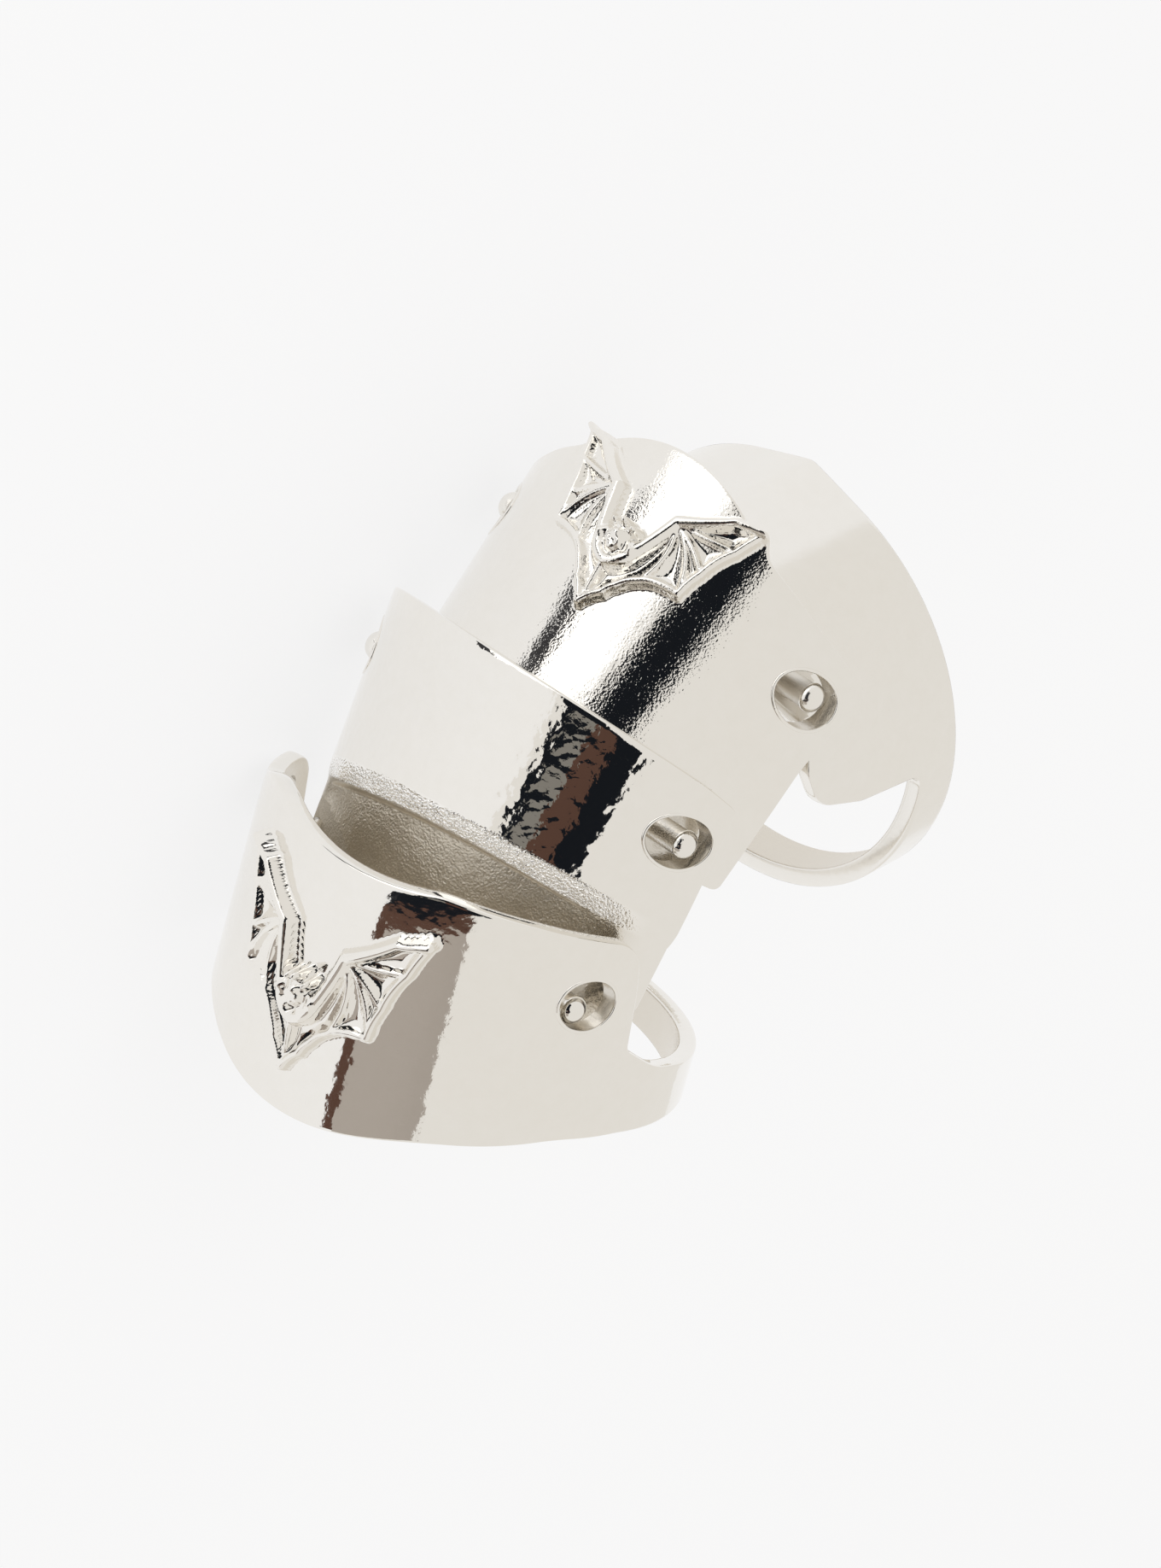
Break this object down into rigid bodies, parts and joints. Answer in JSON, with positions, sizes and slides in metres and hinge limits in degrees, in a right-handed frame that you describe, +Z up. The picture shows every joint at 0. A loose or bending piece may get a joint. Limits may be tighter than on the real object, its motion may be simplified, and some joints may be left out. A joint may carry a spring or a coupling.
{
  "type": "knuckle armor ring",
  "caption": "Hinged finger armor ring: a closed base band, two overlapping plates and a closed tip ring on cross pegs, with bat figures in relief.",
  "frame": {"origin": "centre of the base band's finger bore, half way along its closed shank", "axes": "+X along the base band's bore towards the fingertip, +Y towards the palm, +Z across the finger; the ring lies on its side with +Z up"},
  "size_m": [0.0316, 0.0292, 0.0218],
  "materials": {
    "polished_silver": "mirror polish with fine cast grain"
  },
  "bodies": {
    "band": {"base_band": "polished_silver"},
    "knuckle": {"knuckle_plate": "polished_silver"},
    "middle": {"middle_plate": "polished_silver"},
    "tip": {"tip_ring": "polished_silver"}
  },
  "joints": [
    {"name": "knuckle_hinge", "type": "hinge", "parent": "band", "child": "knuckle", "pos_m": [0.0083, -0.00715, 0], "axis": [0, 0, 1], "range_deg": [-35, 10]},
    {"name": "middle_hinge", "type": "hinge", "parent": "knuckle", "child": "middle", "pos_m": [0.01601, -0.00273, 0], "axis": [0, 0, 1], "range_deg": [-18.5, 20]},
    {"name": "tip_hinge", "type": "hinge", "parent": "middle", "child": "tip", "pos_m": [0.02199, 0.00367, 0], "axis": [0, 0, 1], "range_deg": [-24, 20]}
  ]
}
